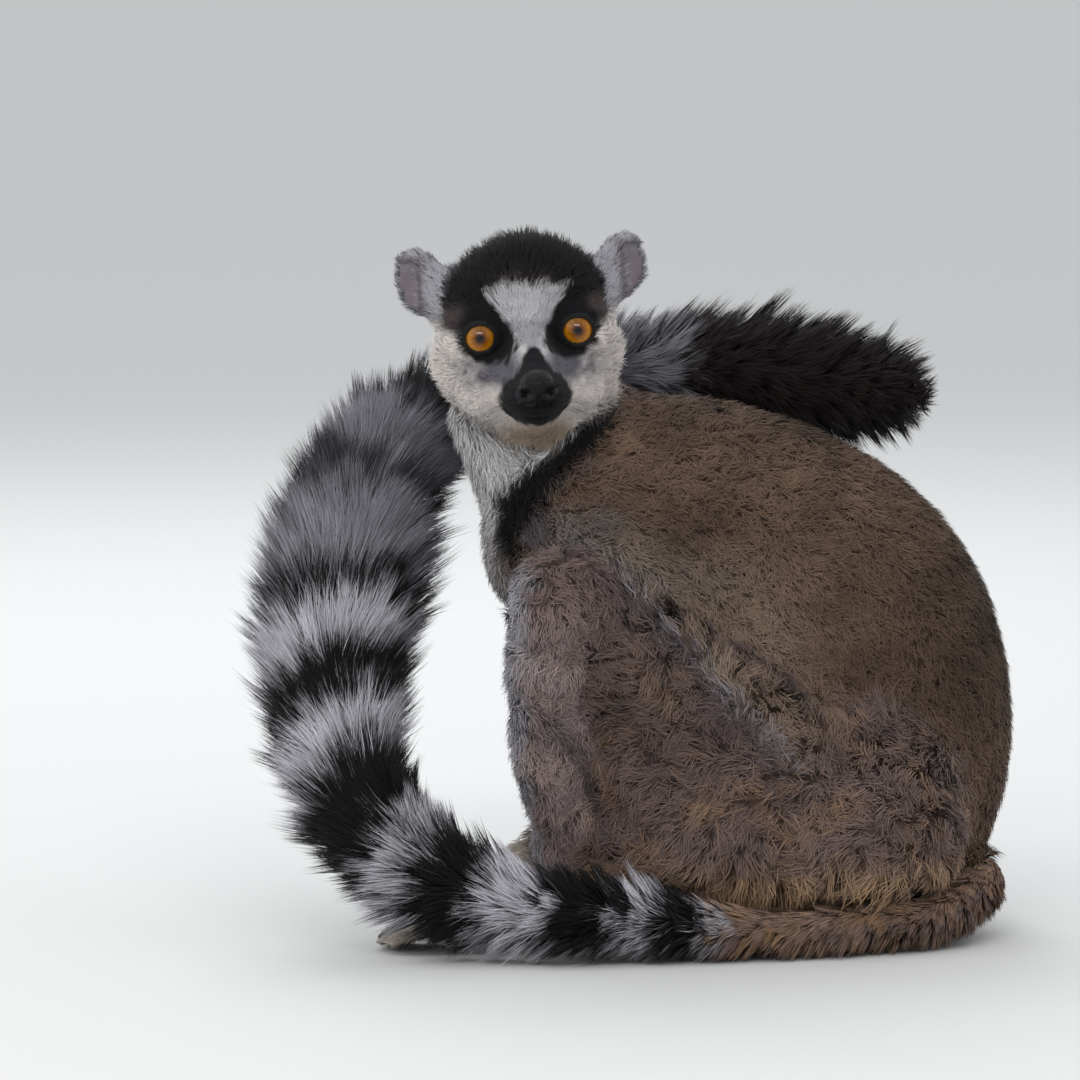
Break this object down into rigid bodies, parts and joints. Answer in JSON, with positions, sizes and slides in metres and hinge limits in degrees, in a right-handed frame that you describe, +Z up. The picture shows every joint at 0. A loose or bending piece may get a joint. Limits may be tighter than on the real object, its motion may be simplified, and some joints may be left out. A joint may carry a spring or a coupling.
{
  "type": "ring-tailed lemur",
  "caption": "Sitting lemur with drawn-up knees, pointed muzzle and upright ears, its long brush of a tail wound round its feet and up over its back.",
  "frame": {"origin": "centre of the bounding box on the floor, under the sitting body", "axes": "+Z up from the floor; -X the way the body faces; -Y towards the animal's left side, the way its head is turned"},
  "size_m": [0.2582, 0.1916, 0.2345],
  "materials": {
    "coat_back": "matte",
    "coat_pale": "matte",
    "coat_dark": "matte",
    "bare_skin": "satin",
    "eye": "gloss"
  },
  "bodies": {
    "root": {"arm_left": "coat_back", "arm_right": "coat_back", "ear_left": "coat_pale", "ear_right": "coat_pale", "eye_left": "eye", "eye_right": "eye", "foot_left": "coat_pale", "foot_right": "coat_pale", "hand_left": "coat_pale", "hand_right": "coat_pale", "head": "coat_pale", "neck": "coat_pale", "nose": "bare_skin", "shank_left": "coat_back", "shank_right": "coat_back", "tail_1": "coat_dark", "tail_2": "coat_dark", "tail_3": "coat_dark", "tail_4": "coat_dark", "tail_5": "coat_dark", "tail_6": "coat_dark", "thigh_left": "coat_back", "thigh_right": "coat_back", "trunk": "coat_back"}
  },
  "joints": []
}
